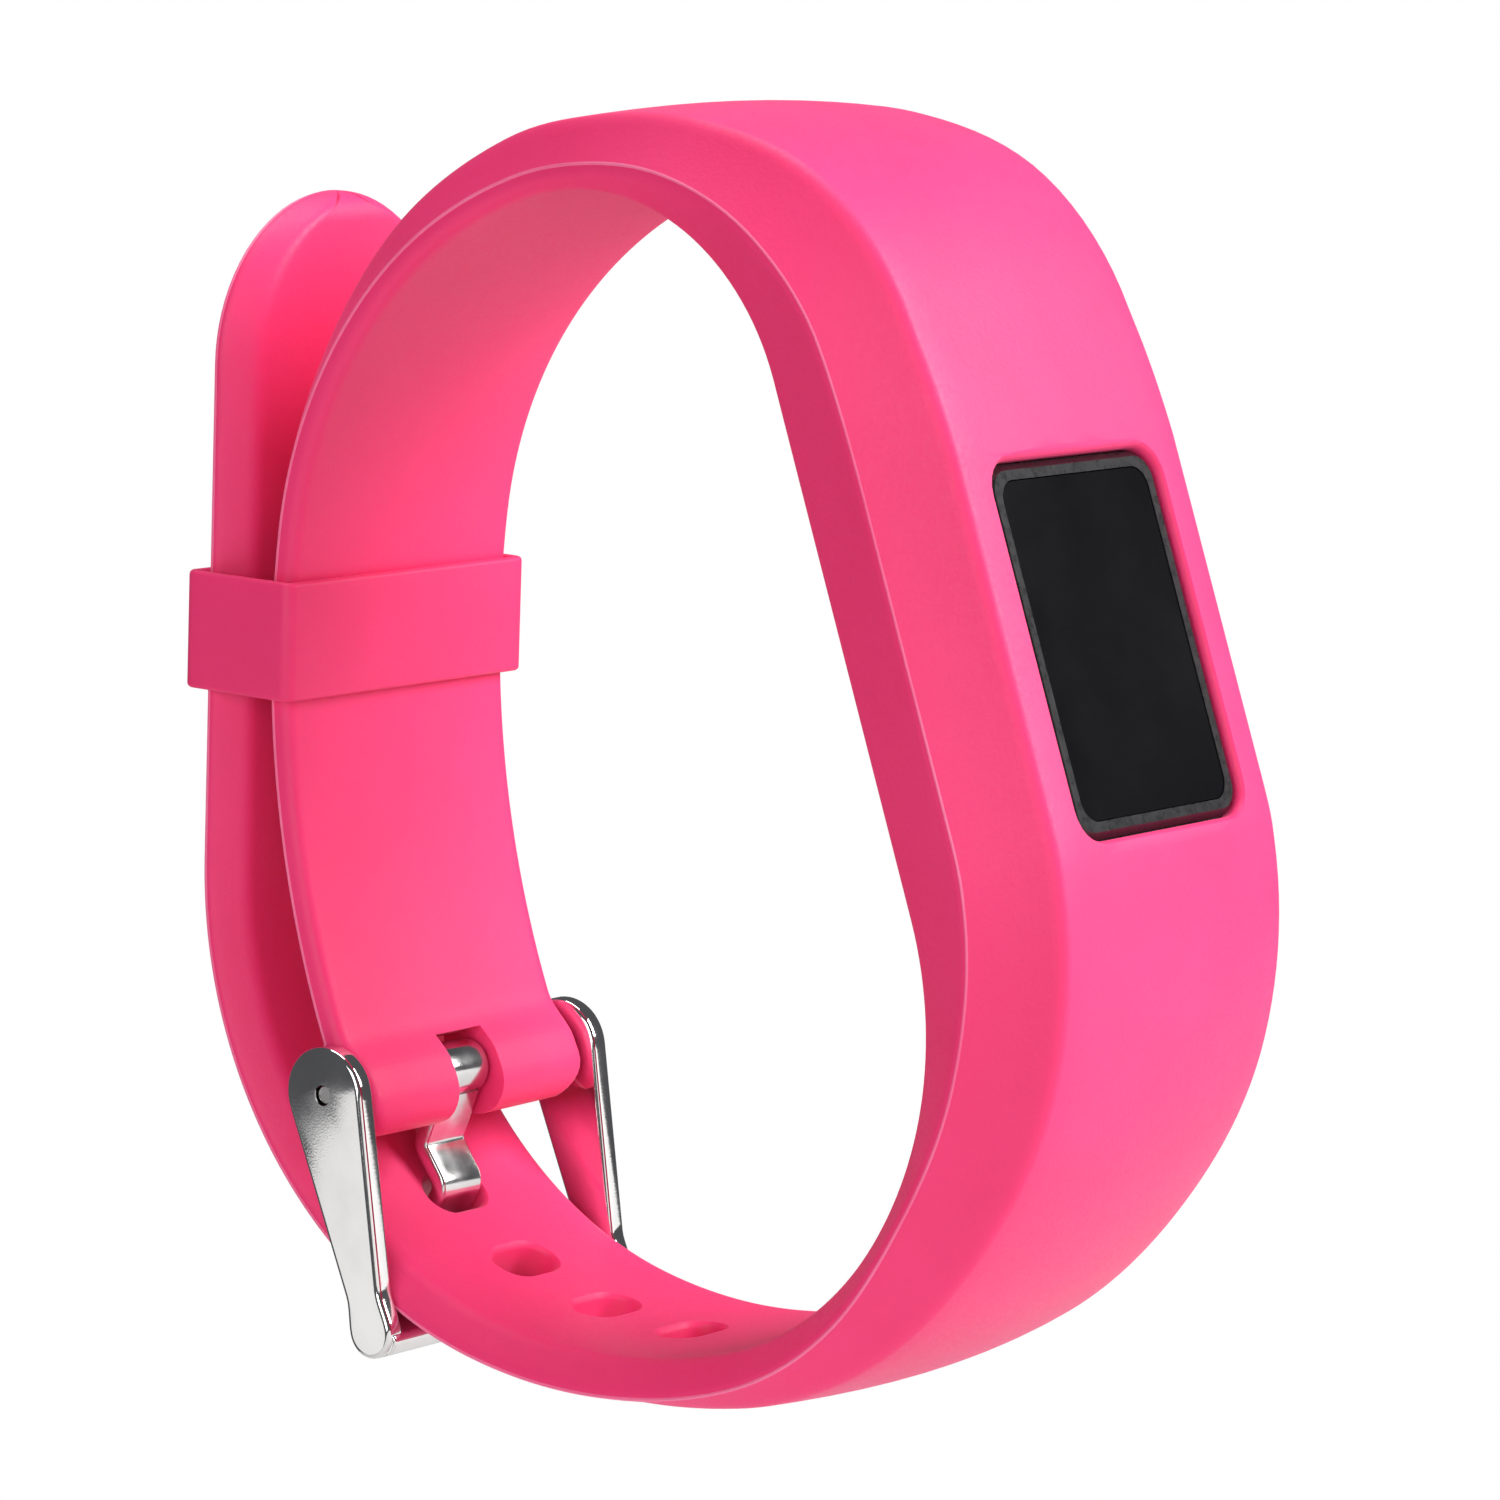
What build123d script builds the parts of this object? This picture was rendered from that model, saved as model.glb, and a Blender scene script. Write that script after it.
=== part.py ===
from build123d import *
import os
from math import cos, degrees, radians, sin

# Fitness tracker band, fastened as it is worn. All sizes in millimetres.
# Frame: origin on the wrist axis at the height of the screen's centre, +X along the wrist axis,
# the screen faces -Y and +Z is up.

# ---- The loop of the band, as its wrist-side surface runs in the YZ plane ----
front_inner_y = -18.6      # wrist-side surface behind the pod
front_rise = 14.9          # flat stretch above the screen's centre
front_drop = 9.7           # flat stretch below the screen's centre
top_front_radius = 11.9
top_back_radius = 20.2
top_back_turn = 63.0       # degrees turned by the arc over the back of the wrist
back_radius = 46.8
back_turn = 32.7           # degrees turned by the arc down to the buckle pin
bottom_front_radius = 16.8
bottom_back_radius = 26.6
bottom_back_turn = 32.4
tail_lean = 20.7           # degrees the free tail leans back from upright
tail_length = 32.0         # straight free end beyond the bend at the buckle
strap_gap = 1.4            # between the two straps where the keeper holds them

# ---- Band section: half widths and heights over the wrist side ----
strap_width = 16.0
strap_thickness = 2.0
short_flat_half = 7.6      # wrist-side flat of the strap that holds the buckle
short_side_low = 0.4       # its upright side starts here
short_side_high = 1.0      # and ends here, in the parting line
short_face_half = 7.2
short_crown = 0.25         # rise of the outer face's middle over its edges
long_flat_half = 6.7       # the same sizes of the strap with the holes
long_side_low = 1.35
long_side_high = 1.65
long_face_half = 7.5
long_crown = 0.12
housing_width = 20.4       # across the parting line
housing_thickness = 9.4
housing_flat_half = 8.0
housing_side_low = 4.75
housing_side_high = 5.05
housing_face_half = 8.4
housing_crown = 0.25
end_roll_radius = 1.8      # thick end round the spring bar
end_reach = 0.7            # how far that end goes on past the spring bar
# The housing's tapers into the straps: share of the front arc's turn, then how far the thickness, the
# width and the parting line have grown from the strap's to the housing's, then the outer face's crown.
# The upper one starts as a slight swelling over the wrist, given by shares of the top back arc's turn.
crest_taper = (
    (0.62, 0.03, 0.0, 0.0, 0.25),
    (0.3, 0.12, 0.08, 0.0, 0.25),
)
upper_taper = (
    (1, 0.175, 0.15, 0.0, 0.25),
    (0.75, 0.25, 0.38, 0.08, 0.35),
    (0.5, 0.475, 0.65, 0.34, 0.4),
    (0.25, 0.77, 0.88, 0.66, 0.35),
    (0, 0.92, 0.98, 0.92, 0.25),
)
lower_taper = (
    (0, 0.98, 1.0, 0.94, 0.25),
    (0.25, 0.79, 0.93, 0.46, 0.5),
    (0.5, 0.53, 0.76, 0.06, 0.7),
    (0.75, 0.32, 0.5, 0.0, 0.6),
    (1, 0.12, 0.22, 0.0, 0.3),
)

# ---- Adjustment holes and the slot for the tongue ----
hole_width = 3.7
hole_length = 2.3
hole_pitch = 5.3
holes_before_tongue = 3
holes_after_tongue = 8
tongue_crossing = 58.0     # heading of the strap where the tongue goes through, degrees
slot_width = 3.3
slot_reach = 1.7           # above the pin's centre

# ---- Buckle ----
pin_clearance = 0.05
buckle_clearance = 0.15    # between the strap's side and each arm
arm_thickness = 1.05
head_radius = 2.35
neck_radius = 1.1
neck_share = 0.85          # of the way from the head to the foot
foot_radius = 1.3
crossbar_heading = 45.0    # heading of the strap where the crossbar lies on it, degrees
crossbar_thickness = 1.2
crossbar_length = 3.0
crossbar_gap = 0.3
crossbar_round = 0.45
arm_edge = 0.2             # chamfer round each arm's outer face
tongue_width = 2.9
tongue_thickness = 0.9
tongue_eye_radius = 1.35
tongue_bend_radius = 0.7
tongue_rest_gap = 0.05     # over the crossbar
tongue_overhang = 0.6      # past the crossbar's middle, as a share of its length
tongue_knee_turn = 7.0     # degrees before the hole where the tongue bends into it
tongue_knee_height = 0.95  # of that bend over the strap
tongue_slant = 0.6         # degrees the tongue leans in its hole
tongue_low = 0.4           # degrees its middle lies past the hole's

# ---- Spring bar ----
bar_radius = 0.75
bar_wall = 0.2
bar_crimp = 0.4
tip_radius = 0.4
tip_piston_length = 1.5
tip_inset = 0.2            # tip's end below the arm's outer face
tip_overlap = 0.1          # of each tip's thin end into its piston
bar_inset = 0.1            # bar's ends inside the strap's sides
spring_wire = 0.15

# ---- Keeper loop ----
keeper_length = 5.7
keeper_wall = 0.55
keeper_clearance = 0.12
keeper_round = 0.45

# ---- Pod ----
window_width = 12.8
window_height = 17.2
window_round = 1.5
pod_side_flange = 0.9      # pod past the window on each side
pod_end_flange = 2.6       # and at each end
pod_round = 2.2
pod_fit = 0.1              # between the pod and the band on every side
lip_thickness = 1.1        # band material in front of the pod
face_inset = 0.45          # pod's face behind the band's outer face
back_inset = 0.15          # pod's back below the wrist-side surface
pod_wall = 1.0
rear_cover_thickness = 1.5
seal_thickness = 0.3
seal_inset = 0.2
battery_round = 0.6
lens_rim = 0.75
lens_thickness = 0.6
gasket_thickness = 0.2
gasket_width = 0.8
ledge_thickness = 0.8      # casing behind the gasket
stack_gap = 0.05           # between stacked pieces inside the pod
side_play = 0.15           # round the board and the battery frame
bay_gap = 0.5              # casing, motor and battery apart
edge_break = 0.3           # chamfer round the pod's face and back
flex_width = 5.0
flex_thickness = 0.15
flex_edge = 0.35           # from the casing's wall
flex_reach = 1.6
display_side_gap = 0.8     # inside the casing's walls
display_end_gap = 2.1
display_thickness = 1.2
board_thickness = 0.8
chip_height = 0.9
battery_side_gap = 0.7     # inside the casing's walls
battery_height = 10.2
foam_thickness = 0.1
foam_inset = 1.0           # foam pad in from the battery's edges
motor_radius = 3.0
motor_wall = 0.2
motor_shaft_radius = 0.35
rotor_clearance = 0.05
screw_radius = 0.5
screw_head_radius = 0.85
screw_head_height = 0.5
screw_core_radius = 0.4    # pilot hole in the boss
screw_slot = (1.1, 0.25, 0.2)
screw_bite = 1.0           # boss material left in front of the pilot hole
boss_radius = 1.05
boss_sink = 0.15           # how far each boss runs into the casing's walls
boss_clearance = 0.15
contact_radius = 0.8
contact_spacing = 5.0
contact_sink = 0.1         # contact's spring end into the battery frame's back
contact_fit = 0.02
recess = 0.05              # contacts and lens below the surface round them


def step(place, radius, amount):
    """Next place along an arc of this radius and turn, or along a straight when radius is None."""
    y, z, heading = place
    if radius is None:
        return (y + amount * cos(radians(heading)), z + amount * sin(radians(heading)), heading)
    turned = heading + amount
    side = 1 if amount > 0 else -1
    return (
        y + side * radius * (sin(radians(turned)) - sin(radians(heading))),
        z + side * radius * (cos(radians(heading)) - cos(radians(turned))),
        turned,
    )


# ---- Upper arm: from the screen's height up, over the wrist and down to the buckle pin ----
screen_height = (front_inner_y, 0.0, 90.0)
top_start = step(screen_height, None, front_rise)
top_middle = step(top_start, top_front_radius, -90)
back_start = step(top_middle, top_back_radius, -top_back_turn)
short_end = step(back_start, back_radius, -back_turn)
back_centre = (
    short_end[0] + back_radius * sin(radians(short_end[2])),
    short_end[1] - back_radius * cos(radians(short_end[2])),
)
strap_half = strap_thickness / 2
pin_y = short_end[0] - strap_half * sin(radians(short_end[2]))
pin_z = short_end[1] + strap_half * cos(radians(short_end[2]))

# ---- Lower arm: from the screen's height down, under the wrist, out through the buckle ----
screen_depth = (front_inner_y, 0.0, -90.0)
bottom_start = step(screen_depth, None, front_drop)
bottom_middle = step(bottom_start, bottom_front_radius, 90)
tail_start = step(bottom_middle, bottom_back_radius, bottom_back_turn)
# The bend's radius brings the straight tail onto the short strap's outer side at the keeper.
tail_offset = back_radius + strap_thickness + strap_gap
low_centre = (bottom_middle[0], bottom_middle[1] + bottom_back_radius)
low_reach = (low_centre[0] - back_centre[0]) * cos(radians(tail_lean))
low_reach += (low_centre[1] - back_centre[1]) * sin(radians(tail_lean))
entry = sin(radians(bottom_back_turn - tail_lean))
bend_radius = (tail_offset - low_reach - bottom_back_radius * entry) / (1 - entry)
bend_centre = (
    tail_start[0] - bend_radius * sin(radians(bottom_back_turn)),
    tail_start[1] + bend_radius * cos(radians(bottom_back_turn)),
)
tail_heading = 90 + tail_lean
tail_bend_end = step(tail_start, bend_radius, tail_heading - bottom_back_turn)
tail_tip = step(tail_bend_end, None, tail_length)


def bend_point(heading, height):
    """Point over the bend at the buckle, where the strap has this heading, height above the inside."""
    reach = bend_radius + height
    return (bend_centre[0] + reach * sin(radians(heading)), bend_centre[1] - reach * cos(radians(heading)))


def section(place, outward, corners_up, crown):
    """Section of the band. corners_up are (half width, height) from the wrist side to the outer face,
    whose middle rises by crown; outward is +1 or -1 for the side of the heading it grows to."""
    y, z, heading = place
    normal = (0, outward * sin(radians(heading)), -outward * cos(radians(heading)))
    plane = Plane(origin=(0, y, z), x_dir=(1, 0, 0), z_dir=Vector(1, 0, 0).cross(Vector(*normal)))
    right = [(half, height) for half, height in corners_up]
    left = [(-half, height) for half, height in reversed(corners_up)]
    edge_height = corners_up[-1][1]
    top = ThreePointArc(right[-1], (0, edge_height + crown), left[0])
    sides = Polyline(*left, *right)
    return plane * make_face([top, sides])


def between(low, high, share):
    return low + (high - low) * share


def band_profile(strap, growth, spread, ridge, crown):
    """Corners of a section between this strap's and the full housing's, each share from 0 to 1."""
    flat_half, side_low, side_high, face_half = strap
    thickness = between(strap_thickness, housing_thickness, growth)
    widest = between(strap_width, housing_width, spread) / 2
    corners_up = (
        (between(flat_half, housing_flat_half, spread), 0),
        (widest, between(side_low, housing_side_low, ridge)),
        (widest, between(side_high, housing_side_high, ridge)),
        (between(face_half, housing_face_half, spread), thickness - crown),
    )
    return corners_up, crown


short_strap = (short_flat_half, short_side_low, short_side_high, short_face_half)
long_strap = (long_flat_half, long_side_low, long_side_high, long_face_half)
short_profile = band_profile(short_strap, 0, 0, 0, short_crown)
long_profile = band_profile(long_strap, 0, 0, 0, long_crown)


def band_sections():
    """Sections from the rolled end, over the wrist, past the screen and under it to the tail's tip."""
    sections = []
    # From the pin up the back and over the wrist: plain strap.
    for turn in (0, 0.2, 0.4, 0.6, 0.8):
        place = step(back_start, back_radius, -back_turn * (1 - turn))
        sections.append(section(place, -1, *short_profile))
    for turn in (1, 0.82):
        place = step(top_middle, top_back_radius, -top_back_turn * turn)
        sections.append(section(place, -1, *short_profile))
    for turn, *shape in crest_taper:
        place = step(top_middle, top_back_radius, -top_back_turn * turn)
        sections.append(section(place, -1, *band_profile(short_strap, *shape)))
    # The strap grows into the housing over the front arc.
    for turn, *shape in upper_taper:
        place = step(top_start, top_front_radius, -90 * turn)
        sections.append(section(place, -1, *band_profile(short_strap, *shape)))
    for height in (0.6, 0.15):
        place = step(screen_height, None, front_rise * height)
        sections.append(section(place, -1, *band_profile(short_strap, 1, 1, 1, housing_crown)))
    for depth in (0.35, 0.75):
        place = step(screen_depth, None, front_drop * depth)
        sections.append(section(place, 1, *band_profile(long_strap, 1, 1, 1, housing_crown)))
    # And shrinks into the strap with the holes.
    for turn, *shape in lower_taper:
        place = step(bottom_start, bottom_front_radius, 90 * turn)
        sections.append(section(place, 1, *band_profile(long_strap, *shape)))
    for turn in (0.35, 0.7, 1):
        place = step(bottom_middle, bottom_back_radius, bottom_back_turn * turn)
        sections.append(section(place, 1, *long_profile))
    # Round the bend at the buckle and straight up to the tip.
    for turn in (0.2, 0.4, 0.6, 0.8, 1):
        place = step(tail_start, bend_radius, (tail_heading - bottom_back_turn) * turn)
        sections.append(section(place, 1, *long_profile))
    for run in (0.25, 0.5, 0.75, 1):
        place = step(tail_bend_end, None, tail_length * run)
        sections.append(section(place, 1, *long_profile))
    return sections


# ---- Pod placing: depths along Y, front to back ----
band_face_y = front_inner_y - housing_thickness
pod_face_y = band_face_y + face_inset
shell_front_y = band_face_y + lip_thickness
pod_back_y = front_inner_y - back_inset
cover_front_y = pod_back_y - rear_cover_thickness
shell_back_y = cover_front_y - seal_thickness
pod_width = window_width + 2 * pod_side_flange
pod_height = window_height + 2 * pod_end_flange
boss_width = window_width - 2 * pod_fit
boss_height = window_height - 2 * pod_fit
cavity_width = pod_width - 2 * pod_wall
cavity_height = pod_height - 2 * pod_wall
display_width = cavity_width - 2 * display_side_gap
display_height = cavity_height - 2 * display_end_gap
battery_width = cavity_width - 2 * battery_side_gap
lens_width = boss_width - 2 * lens_rim
lens_height = boss_height - 2 * lens_rim
lens_back_y = pod_face_y + stack_gap + lens_thickness
gasket_back_y = lens_back_y + gasket_thickness + stack_gap
face_round = window_round - pod_fit
lens_round = face_round - lens_rim / 2
view_width = lens_width - 2 * gasket_width
view_height = lens_height - 2 * gasket_width
cavity_front_y = gasket_back_y + ledge_thickness
display_front_y = cavity_front_y + stack_gap
display_back_y = display_front_y + display_thickness
board_front_y = display_back_y + chip_height + 3 * stack_gap
board_back_y = board_front_y + board_thickness
chassis_front_y = board_back_y + stack_gap
chassis_back_y = shell_back_y - stack_gap
screw_x = cavity_width / 2 - boss_radius + boss_sink
screw_z = cavity_height / 2 - boss_radius + boss_sink
contact_front_y = chassis_back_y - contact_sink
motor_z = cavity_height / 2 - motor_radius - motor_wall - bay_gap
battery_z = motor_z - motor_radius - motor_wall - bay_gap - battery_height / 2


def slab(width, height, y_front, y_back, radius=0.0, x=0.0, z=0.0):
    """Plate facing -Y with rounded corners, from y_front to y_back."""
    plane = Plane(origin=(x, y_back, z), x_dir=(1, 0, 0), z_dir=(0, -1, 0))
    outline = RectangleRounded(width, height, radius) if radius else Rectangle(width, height)
    return extrude(plane * outline, y_back - y_front)


def rod(radius, y_front, y_back, x=0.0, z=0.0):
    """Round post along Y."""
    plane = Plane(origin=(x, y_back, z), x_dir=(1, 0, 0), z_dir=(0, -1, 0))
    return extrude(plane * Circle(radius), y_back - y_front)


def bar(radius, x_low, x_high, y=None, z=None):
    """Round bar along X, on the buckle pin's line by default."""
    plane = Plane(origin=(x_low, pin_y if y is None else y, pin_z if z is None else z), z_dir=(1, 0, 0))
    return extrude(plane * Circle(radius), x_high - x_low)


def corners():
    return [(sx * screw_x, sz * screw_z) for sx in (-1, 1) for sz in (-1, 1)]


def tail_frame(run):
    """Inner point, direction and outward normal along the tail; run 0 is where the tongue crosses."""
    crossing_run = radians(tail_heading - tongue_crossing) * bend_radius
    if run < crossing_run:
        start_turn = radians(tongue_crossing - bottom_back_turn) * bend_radius
        if run >= -start_turn:
            place = step(tail_start, bend_radius, degrees((start_turn + run) / bend_radius))
        else:
            back = degrees((-run - start_turn) / bottom_back_radius)
            place = step(bottom_middle, bottom_back_radius, bottom_back_turn - back)
    else:
        place = step(tail_bend_end, None, run - crossing_run)
    return place


def strap_hole(run):
    """Oval hole through the strap, wider across it than along it."""
    y, z, heading = tail_frame(run)
    normal = Vector(0, sin(radians(heading)), -cos(radians(heading)))
    plane = Plane(origin=Vector(0, y, z) - normal, x_dir=(1, 0, 0), z_dir=normal)
    outline = SlotOverall(hole_width, hole_length)
    return extrude(plane * outline, strap_thickness + 2)


def silicone_band():
    """Housing and both straps moulded in one, with the pod's pocket and window."""
    body = loft(band_sections())
    ring = Pos(pin_y, pin_z) * Circle(end_roll_radius)
    end_heading = radians(short_end[2])
    end_y = pin_y - end_reach * cos(end_heading)
    end_z = pin_z - end_reach * sin(end_heading)
    end = Pos(end_y, end_z) * Circle(end_roll_radius)
    thick_end = make_hull(ring.edges() + end.edges())
    body += extrude(side_plane(-strap_width / 2) * thick_end, strap_width)
    # Full-round tip.
    tip_y, tip_z, heading = tail_tip
    normal = (0, sin(radians(heading)), -cos(radians(heading)))
    tip_plane = Plane(origin=(0, tip_y, tip_z), x_dir=(1, 0, 0), z_dir=normal)
    tip_round = strap_width / 2
    outline = Pos(0, (tip_round - 2) / 2) * Rectangle(strap_width + 2, tip_round + 2)
    outline -= Pos(0, tip_round) * Circle(tip_round)
    body -= extrude(tip_plane.offset(-2) * outline, strap_thickness + 4)
    # Pod pocket, open to the wrist, and the window in front of it.
    body -= slab(
        pod_width + 2 * pod_fit, pod_height + 2 * pod_fit, shell_front_y - pod_fit, front_inner_y + 4,
        pod_round + pod_fit,
    )
    body -= slab(window_width, window_height, band_face_y - 1, shell_front_y + 1, window_round)
    # Adjustment holes, the slot for the tongue and the bore for the spring bar.
    for index in range(-holes_before_tongue, holes_after_tongue + 1):
        body -= strap_hole(index * hole_pitch)
    slot_height = slot_reach + end_roll_radius + end_reach + 1
    slot_middle = pin_z + slot_reach - slot_height / 2
    slot_depth = 2 * (end_roll_radius + end_reach)
    body -= Pos(0, pin_y, slot_middle) * Box(slot_width, slot_depth, slot_height)
    body -= bar(bar_radius + pin_clearance, -strap_width, strap_width)
    return body


def keeper_loop():
    """Square loop round both straps; its middle is tangent to the strap."""
    normal = (0, cos(radians(tail_lean)), sin(radians(tail_lean)))
    centre = (0, back_centre[0], back_centre[1])
    plane = Plane(origin=centre, x_dir=(1, 0, 0), z_dir=normal)
    inner_low = back_radius - keeper_clearance
    inner_high = tail_offset + strap_thickness + 2 * keeper_clearance
    inner_half = strap_width / 2 + keeper_clearance
    height = inner_high - inner_low + 2 * keeper_wall
    middle = (inner_low + inner_high) / 2
    outer = Pos(0, 0, middle) * Box(2 * (inner_half + keeper_wall), keeper_length, height)
    outer = fillet(outer.edges().filter_by(Axis.Y), keeper_round)
    hollow = Pos(0, 0, middle) * Box(2 * inner_half, keeper_length + 2, inner_high - inner_low)
    return plane * (outer - hollow)


crossbar_middle = bend_point(crossbar_heading, strap_thickness + crossbar_gap + crossbar_thickness / 2)
arm_inner = strap_width / 2 + buckle_clearance
arm_outer = arm_inner + arm_thickness


def arm_outline():
    """Side view of one buckle arm: head at the pin, narrow neck, foot at the crossbar."""
    foot_y, foot_z = crossbar_middle
    head = Pos(pin_y, pin_z) * Circle(head_radius)
    neck = Pos(between(pin_y, foot_y, neck_share), between(pin_z, foot_z, neck_share)) * Circle(neck_radius)
    foot = Pos(foot_y, foot_z) * Circle(foot_radius)
    upper = make_hull(head.edges() + neck.edges())
    lower = make_hull(neck.edges() + foot.edges())
    return upper + lower


def side_plane(x):
    """Sketches in YZ at this x, extruded towards +X."""
    return Plane(origin=(x, 0, 0), x_dir=(0, 1, 0), z_dir=(1, 0, 0))


def buckle_frame():
    """Two arms and the crossbar in one piece of steel."""
    arm = extrude(side_plane(arm_inner) * arm_outline(), arm_thickness)
    arm = chamfer(arm.faces().sort_by(Axis.X)[-1].edges(), arm_edge)
    frame = arm + mirror(arm, about=Plane.YZ)
    bar_shape = RectangleRounded(crossbar_length, crossbar_thickness, crossbar_round)
    outline = Pos(*crossbar_middle) * Rot(0, 0, crossbar_heading) * bar_shape
    frame += extrude(side_plane(-arm_outer + arm_edge) * outline, 2 * (arm_outer - arm_edge))
    frame -= bar(tip_radius + pin_clearance, -arm_outer - 1, arm_outer + 1)
    return frame


def buckle_tongue():
    """Flat tongue: an eye on the spring bar, an S bend through the strap and a tip on the crossbar."""
    bar_y, bar_z = crossbar_middle
    along = (cos(radians(crossbar_heading)), sin(radians(crossbar_heading)))
    lift = (crossbar_thickness + tongue_thickness) / 2 + tongue_rest_gap
    rest = (bar_y + lift * along[1], bar_z - lift * along[0])
    reach = tongue_overhang * crossbar_length
    path = FilletPolyline(
        (pin_y, pin_z - (tongue_eye_radius + bar_radius) / 2),
        bend_point(tongue_crossing + tongue_knee_turn, -tongue_knee_height),
        bend_point(tongue_crossing + tongue_slant - tongue_low, -tongue_thickness / 2),
        bend_point(tongue_crossing - tongue_slant - tongue_low, strap_thickness + tongue_thickness),
        (rest[0] + reach * along[0], rest[1] + reach * along[1]),
        (rest[0] - reach * along[0], rest[1] - reach * along[1]),
        radius=tongue_bend_radius,
    )
    outline = trace(path, tongue_thickness)
    outline += Pos(pin_y, pin_z) * Circle(tongue_eye_radius)
    outline -= Pos(pin_y, pin_z) * Circle(bar_radius + pin_clearance)
    return extrude(side_plane(-tongue_width / 2) * outline, tongue_width)


# ---- Spring bar along the buckle pin's line ----
tip_piston_radius = bar_radius - bar_wall - pin_clearance
tube_half = strap_width / 2 - bar_inset
piston_end = tube_half - bar_crimp - pin_clearance
piston_start = piston_end - tip_piston_length


def spring_bar_tube():
    tube = bar(bar_radius, -tube_half, tube_half)
    tube -= bar(bar_radius - bar_wall, -tube_half + bar_crimp, tube_half - bar_crimp)
    return tube - bar(tip_radius + pin_clearance, -tube_half - 1, tube_half + 1)


def spring_bar_tip(side):
    tip = bar(tip_piston_radius, piston_start, piston_end)
    tip += bar(tip_radius, piston_end - tip_overlap, arm_outer - tip_inset)
    return tip if side > 0 else mirror(tip, about=Plane.YZ)


def spring_bar_spring():
    """The coil's outer shape, between the two pistons."""
    reach = piston_start - pin_clearance
    sleeve = bar(tip_piston_radius, -reach, reach)
    return sleeve - bar(tip_piston_radius - spring_wire, -reach - 1, reach + 1)


# ---- Pod ----
def pod_front_shell():
    """Black casing with the raised face that fills the window, and four screw bosses inside."""
    shell = slab(pod_width, pod_height, shell_front_y, shell_back_y, pod_round)
    shell += slab(boss_width, boss_height, pod_face_y, shell_front_y + pod_wall / 4, face_round)
    shell -= slab(cavity_width, cavity_height, cavity_front_y, shell_back_y + 1, pod_round - pod_wall)
    for x, z in corners():
        shell += rod(boss_radius, cavity_front_y - ledge_thickness / 4, chassis_back_y, x, z)
        shell -= rod(screw_core_radius, cavity_front_y + screw_bite, shell_back_y + 1, x, z)
    shell -= slab(lens_width, lens_height, pod_face_y - 1, gasket_back_y, lens_round)
    shell -= slab(view_width, view_height, pod_face_y - 1, cavity_front_y + 1)
    return chamfer(shell.faces().sort_by(Axis.Y)[0].outer_wire().edges(), edge_break)


def display_window():
    """Tinted lens set in the raised face."""
    width = lens_width - 2 * pin_clearance
    height = lens_height - 2 * pin_clearance
    return slab(width, height, pod_face_y + recess, lens_back_y, lens_round - pin_clearance)


def display_gasket():
    width = lens_width - 4 * pin_clearance
    height = lens_height - 4 * pin_clearance
    front = gasket_back_y - gasket_thickness
    ring = slab(width, height, front, gasket_back_y, lens_round - 2 * pin_clearance)
    return ring - slab(view_width, view_height, gasket_back_y - 1, gasket_back_y + 1)


def display_panel():
    return slab(display_width, display_height, display_front_y, display_back_y)


def display_flex():
    """Ribbon from the display's lower end, round to the board's lower edge."""
    edge_z = -cavity_height / 2 + flex_edge
    middle_z = edge_z + flex_reach / 2
    front = display_back_y + stack_gap
    back = board_front_y - stack_gap
    ribbon = slab(flex_width, flex_reach, front, front + flex_thickness, z=middle_z)
    ribbon += slab(flex_width, flex_thickness, front, back, z=edge_z + flex_thickness / 2)
    ribbon += slab(flex_width, flex_reach, back - flex_thickness, back, z=middle_z)
    return ribbon


def clear_bosses(piece):
    for x, z in corners():
        piece -= rod(boss_radius + boss_clearance, pod_face_y, pod_back_y, x, z)
    return piece


def circuit_board():
    width = cavity_width - 2 * side_play
    height = cavity_height - 2 * side_play
    return clear_bosses(slab(width, height, board_front_y, board_back_y, pod_round - pod_wall))


def chip(width, height, x, z, tall=1.0):
    """Package soldered on the board's front; tall is its share of the tallest one's height."""
    return slab(width, height, board_front_y - chip_height * tall, board_front_y, 0, x, z)


def inner_chassis():
    """Frame behind the board that holds the battery and the motor."""
    width = cavity_width - 2 * side_play
    height = cavity_height - 2 * side_play
    frame = slab(width, height, chassis_front_y, chassis_back_y, pod_round - pod_wall)
    frame -= slab(
        battery_width + 2 * side_play, battery_height + 2 * side_play,
        chassis_front_y - 1, chassis_back_y + 1, z=battery_z,
    )
    bay_radius = motor_radius + motor_wall + side_play
    frame -= rod(bay_radius, chassis_front_y - 1, chassis_back_y + 1, z=motor_z)
    return clear_bosses(frame)


def battery_pouch():
    """Pouch cell between the foam pad and the charging contacts."""
    front = chassis_front_y + stack_gap + foam_thickness
    back = contact_front_y - stack_gap
    return slab(battery_width, battery_height, front, back, battery_round, z=battery_z)


def battery_foam_pad():
    front = chassis_front_y + stack_gap / 2
    width = battery_width - 2 * foam_inset
    height = battery_height - 2 * foam_inset
    return slab(width, height, front, front + foam_thickness, z=battery_z)


motor_front_y = chassis_front_y + stack_gap
motor_back_y = chassis_back_y - stack_gap


def vibration_motor_can():
    """Coin motor: a closed can with a fixed shaft."""
    can = rod(motor_radius + motor_wall, motor_front_y, motor_back_y, z=motor_z)
    can -= rod(motor_radius, motor_front_y + motor_wall, motor_back_y - motor_wall, z=motor_z)
    return can + rod(motor_shaft_radius, motor_front_y, motor_back_y, z=motor_z)


def vibration_motor_rotor():
    """Half-round weight on a hub that turns about the shaft."""
    front = motor_front_y + motor_wall + 2 * rotor_clearance
    back = motor_back_y - motor_wall - 2 * rotor_clearance
    reach = motor_radius - 4 * rotor_clearance
    weight = rod(reach, front, back, z=motor_z)
    weight -= slab(3 * reach, 2 * reach, front - 1, back + 1, z=motor_z - reach)
    weight += rod(3 * motor_shaft_radius, front, back, z=motor_z)
    return weight - rod(motor_shaft_radius + rotor_clearance, front - 1, back + 1, z=motor_z)


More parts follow.
